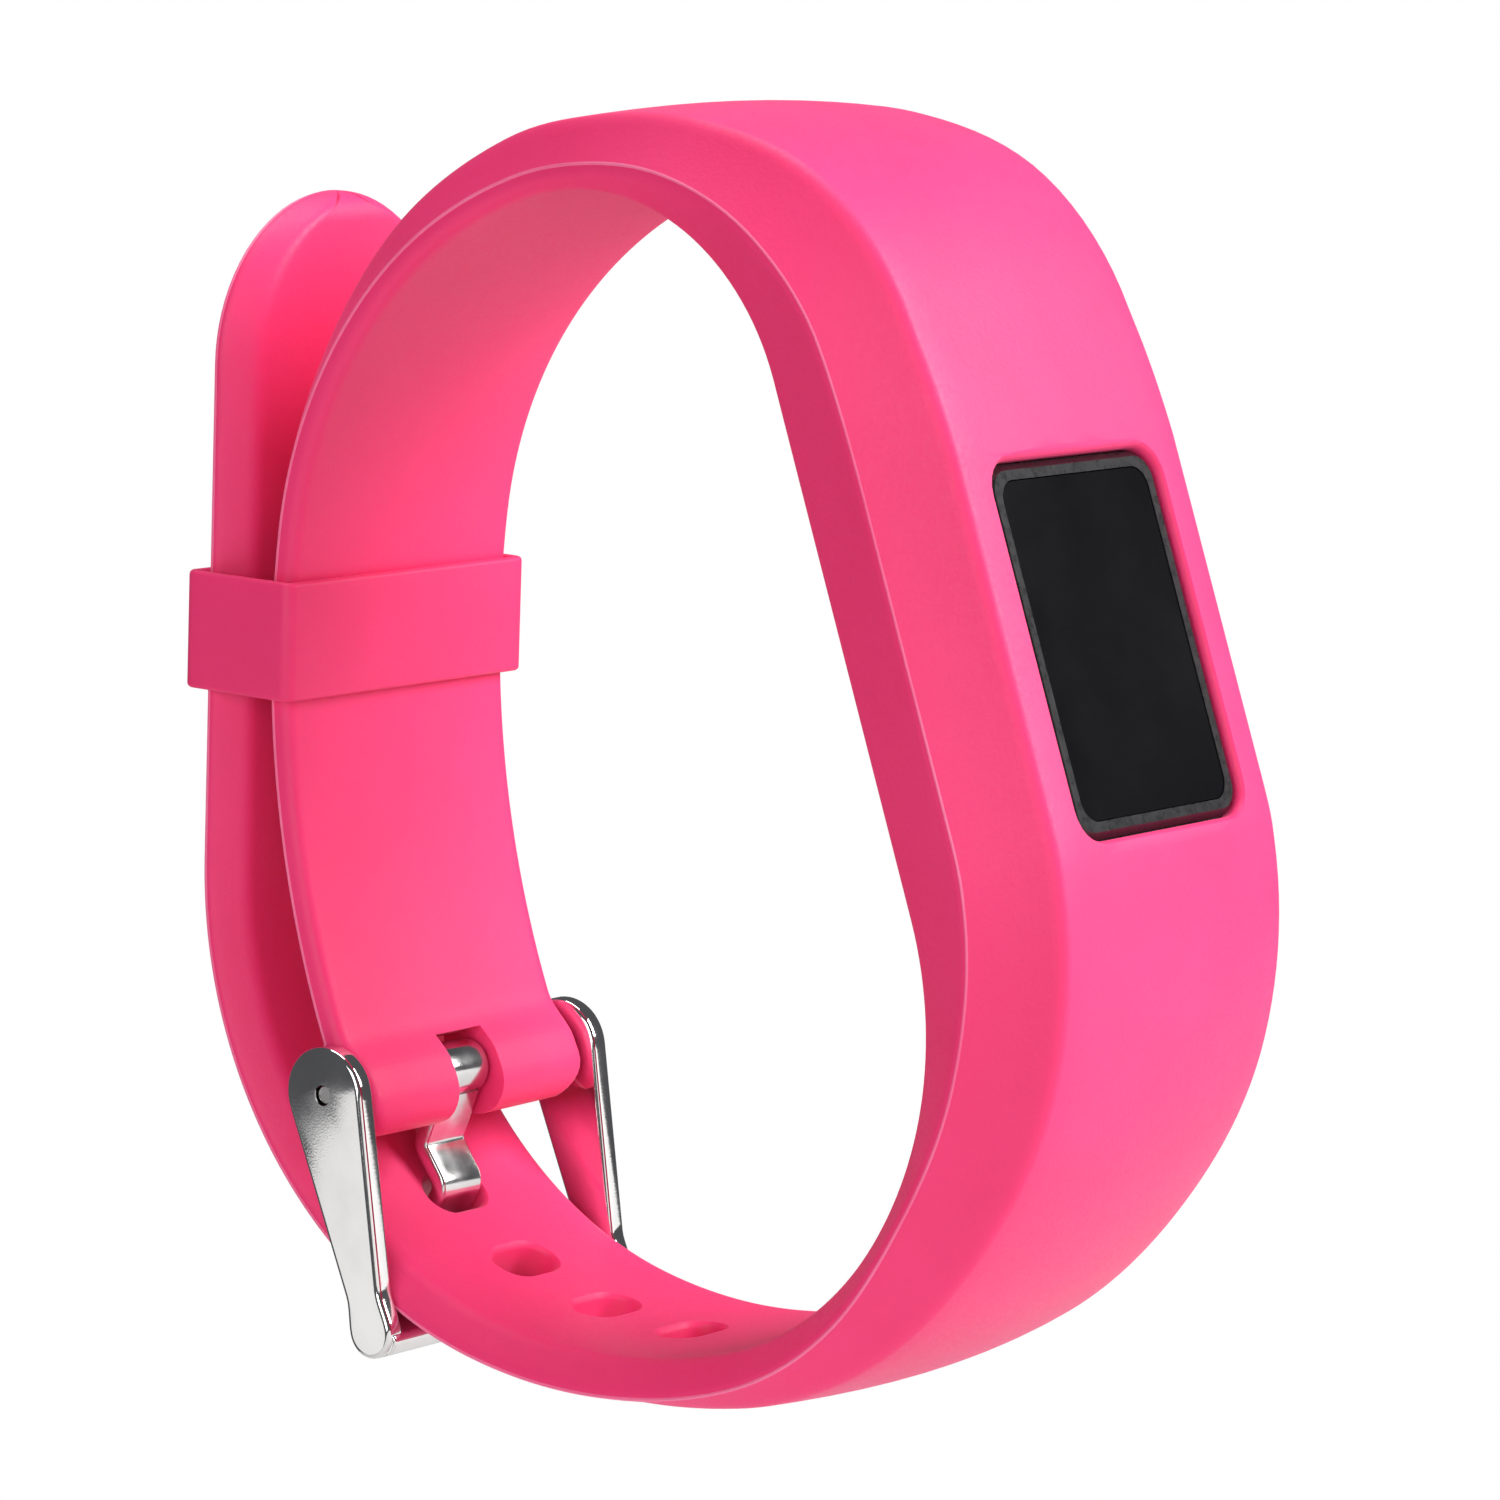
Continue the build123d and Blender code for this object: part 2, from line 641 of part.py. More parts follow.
def rear_cover():
    cover = slab(pod_width, pod_height, cover_front_y, pod_back_y, pod_round)
    head_depth = screw_head_height + pod_fit
    for x, z in corners():
        cover -= rod(screw_radius + pod_fit, cover_front_y - 1, pod_back_y + 1, x, z)
        cover -= rod(screw_head_radius + pod_fit, pod_back_y - head_depth, pod_back_y + 1, x, z)
    for side in (-1, 1):
        hole_x = side * contact_spacing / 2
        cover -= rod(contact_radius + contact_fit, cover_front_y - 1, pod_back_y + 1, hole_x)
    return chamfer(cover.faces().sort_by(Axis.Y)[-1].outer_wire().edges(), edge_break)


def rear_cover_seal():
    """Flat ring pinched between the casing's rim and the rear cover."""
    outer_round = pod_round - seal_inset
    ring = slab(
        pod_width - 2 * seal_inset, pod_height - 2 * seal_inset,
        shell_back_y + contact_fit, cover_front_y - contact_fit, outer_round,
    )
    width = cavity_width + 2 * side_play
    height = cavity_height + 2 * side_play
    return ring - slab(width, height, shell_back_y - 1, cover_front_y + 1, pod_round - pod_wall)


def rear_cover_screws():
    """Four screws from the rear cover into the casing's bosses."""
    screws = []
    head_back = pod_back_y - recess
    head_front = head_back - screw_head_height
    slot_width, slot_height, slot_depth = screw_slot
    for x, z in corners():
        screw = rod(screw_head_radius, head_front, head_back, x, z)
        screw -= Pos(x, head_back, z) * Box(slot_width, 2 * slot_depth, slot_height)
        tip_y = cavity_front_y + 2 * screw_bite
        screws.append(screw + rod(screw_core_radius - contact_fit, tip_y, head_front + slot_depth, x, z))
    return Compound(screws)


def charging_contacts():
    pins = [
        rod(contact_radius, contact_front_y, pod_back_y - recess, side * contact_spacing / 2)
        for side in (-1, 1)
    ]
    return Compound(pins)


nodes = {
    "silicone_band": silicone_band(),
    "keeper_loop": keeper_loop(),
    "buckle_frame": buckle_frame(),
    "buckle_tongue": buckle_tongue(),
    "spring_bar_tube": spring_bar_tube(),
    "spring_bar_tip_left": spring_bar_tip(-1),
    "spring_bar_tip_right": spring_bar_tip(1),
    "spring_bar_spring": spring_bar_spring(),
    "pod_front_shell": pod_front_shell(),
    "display_window": display_window(),
    "display_gasket": display_gasket(),
    "display_panel": display_panel(),
    "display_flex": display_flex(),
    "circuit_board": circuit_board(),
    "processor_chip": chip(4.0, 4.0, 0, 1.5),
    "radio_chip": chip(3.0, 3.0, 0, 6.2, 0.8),
    "motion_sensor": chip(2.0, 2.5, -3.8, 1.5, 0.9),
    "clock_crystal": chip(1.2, 2.0, 3.8, 2.2, 0.6),
    "chip_antenna": chip(6.0, 1.4, 0, 8.6),
    "inner_chassis": inner_chassis(),
    "battery_pouch": battery_pouch(),
    "battery_foam_pad": battery_foam_pad(),
    "vibration_motor_can": vibration_motor_can(),
    "vibration_motor_rotor": vibration_motor_rotor(),
    "rear_cover": rear_cover(),
    "rear_cover_seal": rear_cover_seal(),
    "rear_cover_screws": rear_cover_screws(),
    "charging_contacts": charging_contacts(),
}

os.makedirs("parts", exist_ok=True)
for name, shape in nodes.items():
    export_step(shape, f"parts/{name}.step")
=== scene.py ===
import bmesh
import bpy
from math import cos, degrees, pi, radians, sin, sqrt, tan
from mathutils import Matrix, Vector


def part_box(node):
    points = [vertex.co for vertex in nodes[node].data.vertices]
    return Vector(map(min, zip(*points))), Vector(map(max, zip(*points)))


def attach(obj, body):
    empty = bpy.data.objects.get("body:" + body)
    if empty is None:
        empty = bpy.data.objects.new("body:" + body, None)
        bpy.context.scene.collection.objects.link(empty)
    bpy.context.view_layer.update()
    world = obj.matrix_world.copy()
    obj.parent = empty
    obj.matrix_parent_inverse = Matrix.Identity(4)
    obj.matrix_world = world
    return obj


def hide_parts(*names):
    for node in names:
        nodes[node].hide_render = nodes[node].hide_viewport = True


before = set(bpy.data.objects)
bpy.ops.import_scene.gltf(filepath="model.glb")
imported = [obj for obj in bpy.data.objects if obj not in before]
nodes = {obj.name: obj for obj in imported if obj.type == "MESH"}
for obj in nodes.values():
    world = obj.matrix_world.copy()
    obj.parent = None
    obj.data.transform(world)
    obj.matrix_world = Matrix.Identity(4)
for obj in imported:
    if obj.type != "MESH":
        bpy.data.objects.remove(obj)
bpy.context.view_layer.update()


# ---- Silicone band ----
# One soft-touch silicone moulding: the housing round the pod and both straps, with a fine parting
# line where the mould's halves met, its crest coloured lighter as a painted highlight. The short
# strap's thick end holds the buckle's spring bar.
mm = 0.001
front_inner_y = -18.6
front_rise = 14.9
front_drop = 9.7
top_front_radius = 11.9
top_back_radius = 20.2
back_radius = 46.8
bottom_front_radius = 16.8
bottom_back_radius = 26.6
strap_width = 16.0
strap_thickness = 2.0
strap_gap = 1.4
tail_lean = 20.7
tail_length = 32.0
housing_width = 20.4
housing_thickness = 9.4
housing_section = (8.0, 4.75, 5.05, 8.4)   # flat half, side's low and high edges, face half
short_section = (7.6, 0.4, 1.0, 7.2)
long_section = (6.7, 1.35, 1.65, 7.5)
short_crown = 0.25
long_crown = 0.12
end_roll = 1.8                             # radius of the thick end
end_reach = 0.7                            # its middle past the spring bar
end_corner = 1.5
end_blend = 2.6
tip_edge = 1.3
ring_pitch = 0.55                          # along the band
ridge_rise = 0.05                          # parting line
ridge_half = 0.08


def onward(place, radius, amount):
    """Next place along an arc of this radius and turn, or along a straight when radius is None."""
    y, z, heading = place
    if radius is None:
        return (y + amount * cos(radians(heading)), z + amount * sin(radians(heading)), heading)
    turned = heading + amount
    side = 1 if amount > 0 else -1
    return (
        y + side * radius * (sin(radians(turned)) - sin(radians(heading))),
        z + side * radius * (cos(radians(heading)) - cos(radians(turned))),
        turned,
    )


def leg_length(radius, amount):
    return amount if radius is None else radius * radians(abs(amount))


def walk(start, legs, distance):
    """Place this far along a run of arcs and straights, and straight on past its end."""
    place = start
    for radius, amount in legs:
        length = leg_length(radius, amount)
        if distance <= length:
            return onward(place, radius, amount * distance / length)
        place = onward(place, radius, amount)
        distance -= length
    return onward(place, None, distance)


upper_start = (front_inner_y, 0, 90)
upper_legs = [(None, front_rise), (top_front_radius, -90), (top_back_radius, -63), (back_radius, -32.7)]
upper_length = sum(leg_length(*leg) for leg in upper_legs)
short_end = walk(upper_start, upper_legs, upper_length)
back_centre = (
    short_end[0] + back_radius * sin(radians(short_end[2])),
    short_end[1] - back_radius * cos(radians(short_end[2])),
)
pin_y = short_end[0] - strap_thickness / 2 * sin(radians(short_end[2]))
pin_z = short_end[1] + strap_thickness / 2 * cos(radians(short_end[2]))
lower_start = (front_inner_y, 0, -90)
lower_legs = [(None, front_drop), (bottom_front_radius, 90), (bottom_back_radius, 32.4)]
tail_start = walk(lower_start, lower_legs, sum(leg_length(*leg) for leg in lower_legs))
# The bend's radius brings the straight tail onto the short strap's outer side.
tail_offset = back_radius + strap_thickness + strap_gap
low_centre = (tail_start[0] - bottom_back_radius * sin(radians(tail_start[2])),
              tail_start[1] + bottom_back_radius * cos(radians(tail_start[2])))
low_reach = (low_centre[0] - back_centre[0]) * cos(radians(tail_lean))
low_reach += (low_centre[1] - back_centre[1]) * sin(radians(tail_lean))
entry = sin(radians(tail_start[2] - tail_lean))
bend_radius = (tail_offset - low_reach - bottom_back_radius * entry) / (1 - entry)
bend_centre = (
    tail_start[0] - bend_radius * sin(radians(tail_start[2])),
    tail_start[1] + bend_radius * cos(radians(tail_start[2])),
)
lower_legs += [(bend_radius, 90 + tail_lean - tail_start[2]), (None, tail_length)]
lower_length = sum(leg_length(*leg) for leg in lower_legs)
# Distance from the screen's height, then how far thickness, width and parting line have grown from
# the strap's to the housing's, and the outer face's crown.
top_turn = leg_length(*upper_legs[1])
upper_taper = [(0, 1, 1, 1, 0.25), (9, 1, 1, 1, 0.25)]
upper_taper += [(front_rise + top_turn * turn, *grown) for turn, *grown in (
    (0, 0.92, 0.98, 0.92, 0.25), (0.25, 0.77, 0.88, 0.66, 0.35), (0.5, 0.475, 0.65, 0.34, 0.4),
    (0.75, 0.25, 0.38, 0.08, 0.35), (1, 0.175, 0.15, 0, 0.25), (1.36, 0.12, 0.08, 0, 0.25),
    (1.74, 0.03, 0, 0, 0.25), (1.97, 0, 0, 0, short_crown),
)]
low_turn = leg_length(*lower_legs[1])
lower_taper = [(0, 1, 1, 1, 0.25), (7.3, 1, 1, 1, 0.25)]
lower_taper += [(front_drop + low_turn * turn, *grown) for turn, *grown in (
    (0, 0.98, 1, 0.94, 0.25), (0.25, 0.79, 0.93, 0.46, 0.5), (0.5, 0.53, 0.76, 0.06, 0.7),
    (0.75, 0.32, 0.5, 0, 0.6), (1, 0.12, 0.22, 0, 0.3), (1.2, 0, 0, 0, long_crown),
)]


def mix(low, high, share):
    return low + (high - low) * share


def smooth(share):
    share = min(max(share, 0), 1)
    return share * share * (3 - 2 * share)


def taper_at(rows, distance):
    """Shares of growth and the crown at this distance, on a smooth curve through the rows."""
    if distance >= rows[-1][0]:
        return rows[-1][1:]
    index = max(i for i, row in enumerate(rows) if row[0] <= distance)
    span = rows[index + 1][0] - rows[index][0]
    t = (distance - rows[index][0]) / span
    before = rows[max(index - 1, 0)]
    after = rows[min(index + 2, len(rows) - 1)]
    low, high = rows[index], rows[index + 1]
    values = []
    for a, b, c, d in list(zip(before, low, high, after))[1:]:
        slope_low = (c - a) / (high[0] - before[0]) * span
        slope_high = (d - b) / (after[0] - low[0]) * span
        value = b * (1 + 2 * t) * (1 - t) ** 2 + slope_low * t * (1 - t) ** 2
        value += c * t * t * (3 - 2 * t) - slope_high * t * t * (1 - t)
        values.append(min(max(value, 0), 1))
    return values


def section_shape(section, growth=0, spread=0, ridge=0, crown=0):
    """Half widths and heights of the section between this strap's and the housing's."""
    flat, low, high, face = (mix(a, b, share) for a, b, share in zip(
        section, housing_section, (spread, ridge, ridge, spread)))
    return {
        "flat": flat, "low": low, "high": high, "face": face, "base": 0, "crown": crown,
        "wide": mix(strap_width, housing_width, spread) / 2,
        "top": mix(strap_thickness, housing_thickness, growth),
    }


def thick_end_shape(run):
    """Short strap run millimetres before the spring bar, thick round it and rounded at the end."""
    shape = section_shape(short_section, crown=short_crown)
    past = -run - end_reach
    half = mix(end_roll, strap_thickness / 2, smooth(run / end_blend))
    if past > 0:
        half = sqrt(end_roll ** 2 - past ** 2)
    from_end = run + end_reach + end_roll
    if from_end < end_corner:
        inset = end_corner - sqrt(end_corner ** 2 - (end_corner - from_end) ** 2)
        for name in ("flat", "face", "wide"):
            shape[name] -= inset
    middle = strap_thickness / 2
    shape["base"] = middle - half
    shape["top"] = middle + half
    shape["low"] = middle - 0.6 * half
    return shape


def tip_shape(from_tip):
    """Tail this far from its full-round tip, with the same bevels all the way round."""
    shape = section_shape(long_section, crown=long_crown)
    half = strap_width / 2
    wide = sqrt(half ** 2 - (half - from_tip) ** 2)
    bevel = min(1, wide / 3)
    for name in ("flat", "face"):
        shape[name] = wide - (half - shape[name]) * bevel
    shape["wide"] = wide
    if from_tip < tip_edge:
        shape["base"] = shape["low"] * (1 - sqrt(1 - (1 - from_tip / tip_edge) ** 2))
        rise = sqrt(1 - (1 - from_tip / tip_edge) ** 2)
        shape["top"] = mix(shape["high"] + ridge_half, strap_thickness, rise)
        shape["crown"] = long_crown * rise
    return shape


def soft_corner(before, corner, after, size, steps):
    """Points round a corner that is rounded over this size, kept within its two sides."""
    before, corner, after = Vector(before), Vector(corner), Vector(after)
    start = corner + (before - corner) * min(size / max((before - corner).length, 1e-6), 0.45)
    end = corner + (after - corner) * min(size / max((after - corner).length, 1e-6), 0.45)
    points = []
    for index in range(steps + 1):
        t = index / steps
        points.append(start * (1 - t) ** 2 + corner * 2 * t * (1 - t) + end * t ** 2)
    return points


def ring_points(shape):
    """Right half of a section from the middle of the wrist side to the middle of the outer face."""
    wide = shape["wide"] - ridge_rise
    edge_height = shape["top"] - shape["crown"]
    base_middle = (0, shape["base"])
    base_edge = (shape["flat"], shape["base"])
    side_low = (wide, shape["low"])
    side_high = (wide, shape["high"])
    face_edge = (shape["face"], edge_height)
    face_in = (shape["face"] * 0.9, shape["top"] - shape["crown"] * 0.81)
    points = [Vector((shape["flat"] * share, shape["base"])) for share in (0, 0.25, 0.5, 0.75)]
    points += soft_corner(base_middle, base_edge, side_low, 0.5, 4)
    points += soft_corner(base_edge, side_low, side_high, 0.35, 3)
    ridge = min(ridge_half, (edge_height - shape["high"]) * 0.4)
    points += [
        Vector((wide, shape["high"] - ridge)), Vector((shape["wide"], shape["high"] - ridge * 0.3)),
        Vector((shape["wide"], shape["high"] + ridge * 0.3)), Vector((wide, shape["high"] + ridge)),
    ]
    points += soft_corner(side_high, face_edge, face_in, 0.7, 5)
    for share in (0.8, 0.6, 0.4, 0.2, 0):
        points.append(Vector((shape["face"] * share, shape["top"] - shape["crown"] * share ** 2)))
    return points


def mesh_piece(name, points, faces):
    """Object from points in millimetres, with its faces turned outwards."""
    mesh = bpy.data.meshes.new(name)
    mesh.from_pydata([Vector(point) * mm for point in points], [], faces)
    shell = bmesh.new()
    shell.from_mesh(mesh)
    bmesh.ops.recalc_face_normals(shell, faces=shell.faces)
    shell.to_mesh(mesh)
    shell.free()
    piece = bpy.data.objects.new(name, mesh)
    bpy.context.scene.collection.objects.link(piece)
    return piece


def loft_piece(name, rings, closed=False):
    """Skin over rings with the same number of points, capped at both ends unless it is closed."""
    count = len(rings[0])
    points = [point for ring in rings for point in ring]
    faces = []
    for row in range(len(rings) if closed else len(rings) - 1):
        here, there = row * count, (row + 1) % len(rings) * count
        for column in range(count):
            beside = (column + 1) % count
            faces.append((here + column, here + beside, there + beside, there + column))
    if not closed:
        faces.append(tuple(range(count)))
        faces.append(tuple(range(len(points) - count, len(points))))
    return mesh_piece(name, points, faces)


weld = 0.002


def cut(piece, cutter, operation="DIFFERENCE"):
    """Cuts piece with cutter, or joins them, and removes the cutter."""
    modifier = piece.modifiers.new("cut", "BOOLEAN")
    modifier.object = cutter
    modifier.operation = operation
    modifier.solver = "EXACT"
    bpy.context.view_layer.update()
    evaluated = piece.evaluated_get(bpy.context.evaluated_depsgraph_get())
    mesh = bpy.data.meshes.new_from_object(evaluated)
    shell = bmesh.new()
    shell.from_mesh(mesh)
    bmesh.ops.remove_doubles(shell, verts=shell.verts, dist=weld * mm)
    bmesh.ops.dissolve_degenerate(shell, edges=shell.edges, dist=weld * mm)
    shell.to_mesh(mesh)
    shell.free()
    piece.modifiers.clear()
    piece.data = mesh
    bpy.data.objects.remove(cutter)


def shade(piece, angle=35):
    """Smooth shading, with edges sharper than angle kept."""
    for face in piece.data.polygons:
        face.use_smooth = True
    piece.data.set_sharp_from_angle(angle=radians(angle))


def band_frame(place, outward):
    """Point on the wrist side and outward normal as vectors."""
    y, z, heading = place
    normal = Vector((0, outward * sin(radians(heading)), -outward * cos(radians(heading))))
    return Vector((0, y, z)), normal


def band_ring(place, outward, shape):
    origin, normal = band_frame(place, outward)
    half = ring_points(shape)
    right = [origin + Vector((x, 0, 0)) + normal * height for x, height in half]
    left = [origin + Vector((-x, 0, 0)) + normal * height for x, height in reversed(half[1:-1])]
    return right + left


rings = []
end_runs = [0.04, 0.12, 0.25, 0.45, 0.7, 1.0, 1.35, 1.75, 2.1, 2.5, 2.8, 3.1, 3.5, 3.9, 4.3, 4.7, 5.1]
for from_end in end_runs:
    run = from_end - end_reach - end_roll
    rings.append(band_ring(walk(upper_start, upper_legs, upper_length - run), -1, thick_end_shape(run)))
plain_start = upper_length - (end_runs[-1] - end_reach - end_roll)
for index in range(1, int(plain_start / ring_pitch)):
    distance = plain_start - index * ring_pitch
    shape = section_shape(short_section, *taper_at(upper_taper, distance))
    rings.append(band_ring(walk(upper_start, upper_legs, distance), -1, shape))
tip_runs = [
    8.0, 7.4, 6.8, 6.2, 5.6, 5.0, 4.4, 3.8, 3.2, 2.7, 2.2,
    1.8, 1.4, 1.1, 0.8, 0.55, 0.35, 0.2, 0.1, 0.045, 0.015, 0.003,
]
tip_start = lower_length - tip_runs[0]
for index in range(int(tip_start / ring_pitch)):
    distance = index * ring_pitch
    shape = section_shape(long_section, *taper_at(lower_taper, distance))
    rings.append(band_ring(walk(lower_start, lower_legs, distance), 1, shape))
for from_tip in tip_runs:
    rings.append(band_ring(walk(lower_start, lower_legs, lower_length - from_tip), 1, tip_shape(from_tip)))
band = loft_piece("band_moulding", rings)
painted_highlight_columns = {13, 14, 15}               # between the ring's points on the parting line's crest
painted_highlight_columns |= {len(rings[0]) - 1 - column for column in painted_highlight_columns}
# These faces take the band's second, lighter silicone: a painted highlight along the parting line's crest.
for face in band.data.polygons:
    if face.index % len(rings[0]) in painted_highlight_columns and len(face.vertices) == 4:
        face.material_index = 1


def rounded_outline(width, height, radius, steps=6):
    """Rounded rectangle as points, anticlockwise from its right side."""
    points = []
    for index, (side_x, side_y) in enumerate(((1, 1), (-1, 1), (-1, -1), (1, -1))):
        centre_x = side_x * (width / 2 - radius)
        centre_y = side_y * (height / 2 - radius)
        for step in range(steps + 1):
            turn = pi / 2 * (index + step / steps)
            points.append((centre_x + radius * cos(turn), centre_y + radius * sin(turn)))
    return points


# The window with its softened edge, the pocket behind it and the opening to the wrist.
window_width = 12.8
window_height = 17.2
window_round = 1.5
pocket_width = 14.8
pocket_height = 22.6
pocket_round = 2.3
lip_thickness = 1.0
band_face_y = front_inner_y - housing_thickness
window_rings = []
window_steps = (
    (-0.5, 0.75), (0.013, 0.42), (0.1, 0.22), (0.22, 0.09), (0.4, 0.01), (0.6, 0), (lip_thickness, 0),
)
for depth, grow in window_steps:
    outline = rounded_outline(window_width + 2 * grow, window_height + 2 * grow, window_round + grow)
    window_rings.append([(x, band_face_y + depth, z) for x, z in outline])
pocket_depth = housing_thickness - lip_thickness
for height, grow in ((pocket_depth, 0), (0.4, 0), (0.2, 0.06), (0.013, 0.3), (-0.4, 0.75)):
    outline = rounded_outline(pocket_width + 2 * grow, pocket_height + 2 * grow, pocket_round + grow)
    window_rings.append([(x, front_inner_y - height, z) for x, z in outline])
cut(band, loft_piece("pocket_cut", window_rings))

# Oval adjustment holes with softened rims: three before the tongue's and eight after it.
hole_width = 3.7
hole_length = 2.3
hole_pitch = 5.3
# Height over the wrist side and growth of the outline; no ring lies in the strap's own faces.
hole_profile = (
    (-0.5, 0.7), (0.013, 0.16), (0.16, 0.03), (0.3, 0), (1.7, 0), (1.83, 0.03), (1.977, 0.16), (2.5, 0.7),
)
tongue_crossing = 58.0
crossing = sum(leg_length(*leg) for leg in lower_legs[:3])
crossing += bend_radius * radians(tongue_crossing - tail_start[2])
for index in range(-3, 9):
    origin, normal = band_frame(walk(lower_start, lower_legs, crossing + index * hole_pitch), 1)
    along = normal.cross(Vector((1, 0, 0)))
    hole_rings = []
    for height, grow in hole_profile:
        hole_round = hole_length / 2 + grow - 0.001
        outline = rounded_outline(hole_width + 2 * grow, hole_length + 2 * grow, hole_round, 8)
        hole_rings.append([origin + Vector((x, 0, 0)) + along * y + normal * height for x, y in outline])
    cut(band, loft_piece("hole_cut", hole_rings))

# Slot for the tongue in the thick end, and the spring bar's bore.
slot_width = 3.3
slot_reach = 1.7
slot_depth = 5.0
slot_bottom = pin_z - end_roll - end_reach - 1
slot_rings = []
for x in (-slot_width / 2, slot_width / 2):
    slot_rings.append([
        (x, pin_y - slot_depth / 2, slot_bottom), (x, pin_y + slot_depth / 2, slot_bottom),
        (x, pin_y + slot_depth / 2, pin_z + slot_reach), (x, pin_y - slot_depth / 2, pin_z + slot_reach),
    ])
cut(band, loft_piece("slot_cut", slot_rings))


def round_bar(name, radius, x_low, x_high, y, z, steps=32):
    """Round bar along X."""
    turns = [2 * pi * index / steps for index in range(steps)]
    return loft_piece(name, [
        [(x, y + radius * cos(turn), z + radius * sin(turn)) for turn in turns] for x in (x_low, x_high)
    ])


bore_radius = 0.8
cut(band, round_bar("bore_cut", bore_radius, -strap_width, strap_width, pin_y, pin_z))
shade(band, 32)


def finish_nodes(name, colour, roughness, metallic=0.0):
    """New material with its node tree, shader and object coordinates."""
    material = bpy.data.materials.new(name)
    material.use_nodes = True
    tree = material.node_tree
    shader = tree.nodes["Principled BSDF"]
    shader.inputs["Base Color"].default_value = (*colour, 1)
    shader.inputs["Roughness"].default_value = roughness
    shader.inputs["Metallic"].default_value = metallic
    place = tree.nodes.new("ShaderNodeTexCoord")
    return material, tree, shader, place.outputs["Object"]


def noise(tree, place, scale, detail=3.0, roughness=0.5):
    texture = tree.nodes.new("ShaderNodeTexNoise")
    texture.inputs["Scale"].default_value = scale
    texture.inputs["Detail"].default_value = detail
    texture.inputs["Roughness"].default_value = roughness
    tree.links.new(place, texture.inputs["Vector"])
    return texture.outputs["Fac"]


def ramp(tree, value, stops):
    """Colour ramp from pairs of position and colour or grey."""
    node = tree.nodes.new("ShaderNodeValToRGB")
    elements = node.color_ramp.elements
    while len(elements) < len(stops):
        elements.new(0.5)
    for element, (position, colour) in zip(elements, stops):
        element.position = position
        grey = colour if isinstance(colour, tuple) else (colour, colour, colour)
        element.color = (*grey, 1)
    tree.links.new(value, node.inputs["Fac"])
    return node.outputs["Color"]


def bump(tree, shader, value, distance, strength=1.0):
    """Surface relief of this depth in metres."""
    node = tree.nodes.new("ShaderNodeBump")
    node.inputs["Strength"].default_value = strength
    node.inputs["Distance"].default_value = distance
    tree.links.new(value, node.inputs["Height"])
    tree.links.new(node.outputs["Normal"], shader.inputs["Normal"])


def soft_silicone(name, colour, deep):
    """Soft-touch silicone: matt, faintly translucent, with a fine moulded grain and slight mottling."""
    material, tree, shader, place = finish_nodes(name, colour, 0.5)
    cloud = noise(tree, place, 140, 4)
    tree.links.new(ramp(tree, cloud, ((0.3, deep), (0.65, colour))), shader.inputs["Base Color"])
    grain = noise(tree, place, 5200, 3, 0.6)
    tree.links.new(ramp(tree, grain, ((0.25, 0.42), (0.75, 0.58))), shader.inputs["Roughness"])
    bump(tree, shader, grain, 0.00003, 0.5)
    shader.inputs["Subsurface Weight"].default_value = 0.2
    shader.inputs["Subsurface Radius"].default_value = (1.0, 0.25, 0.35)
    shader.inputs["Subsurface Scale"].default_value = 0.0012
    shader.inputs["Sheen Weight"].default_value = 0.06
    shader.inputs["Sheen Roughness"].default_value = 0.4
    shader.inputs["Specular IOR Level"].default_value = 0.35
    return material


def dress(piece, material):
    piece.data.materials.clear()
    piece.data.materials.append(material)


# The second finish is the same silicone in lighter colours, a painted highlight for the parting line's
# crest.
for finish in (
    soft_silicone("band_silicone", (0.92, 0.043, 0.19), (0.89, 0.037, 0.172)),
    soft_silicone("band_parting_line_painted_highlight", (0.96, 0.19, 0.36), (0.93, 0.12, 0.28)),
):
    band.data.materials.append(finish)
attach(band, "band")
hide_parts("silicone_band")


# ---- Keeper loop ----
# A separate square loop of the same silicone, moulded flat and slid over both straps. Its corners
# and rims are softened, and its inside is a snug fit.
keeper_length = 5.7
keeper_wall = 0.55
keeper_clearance = 0.12
keeper_inner_low = back_radius - keeper_clearance
keeper_inner_high = tail_offset + strap_thickness + 2 * keeper_clearance
keeper_inner_half = strap_width / 2 + keeper_clearance
keeper_corner = 0.08
keeper_rim = 0.22
outward = Vector((0, cos(radians(tail_lean)), sin(radians(tail_lean))))
along = Vector((0, -sin(radians(tail_lean)), cos(radians(tail_lean))))
keeper_middle = Vector((0, *back_centre)) + outward * (keeper_inner_low + keeper_inner_high) / 2
wall_section = rounded_outline(keeper_length, keeper_wall, keeper_rim, 4)
keeper_rings = []
inner_height = keeper_inner_high - keeper_inner_low


def even_outline(width, height, radius, pitch):
    """Rounded rectangle as pairs of point and outward direction, its straights split at pitch."""
    pairs = []
    sides = ((1, 1), (-1, 1), (-1, -1), (1, -1))
    for index, (side_x, side_y) in enumerate(sides):
        centre = Vector((side_x * (width / 2 - radius), side_y * (height / 2 - radius)))
        for step in range(9):
            turn = pi / 2 * (index + step / 8)
            normal = Vector((cos(turn), sin(turn)))
            pairs.append((centre + normal * radius, normal))
        next_x, next_y = sides[(index + 1) % 4]
        start = pairs[-1][0]
        end = Vector((next_x * (width / 2 - radius), next_y * (height / 2 - radius))) + normal * radius
        count = int((end - start).length / pitch)
        for split in range(1, count):
            pairs.append((start.lerp(end, split / count), normal))
    return pairs


for point, normal in even_outline(2 * keeper_inner_half, inner_height, keeper_corner, 0.6):
    base = keeper_middle + Vector((point.x, 0, 0)) + outward * point.y
    way = Vector((normal.x, 0, 0)) + outward * normal.y
    keeper_rings.append([base + along * a + way * (keeper_wall / 2 + t) for a, t in wall_section])
keeper = loft_piece("keeper_loop_moulding", keeper_rings, closed=True)
shade(keeper, 40)
dress(keeper, soft_silicone("keeper_silicone", (0.9, 0.04, 0.18), (0.86, 0.034, 0.16)))
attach(keeper, "keeper")
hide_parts("keeper_loop")


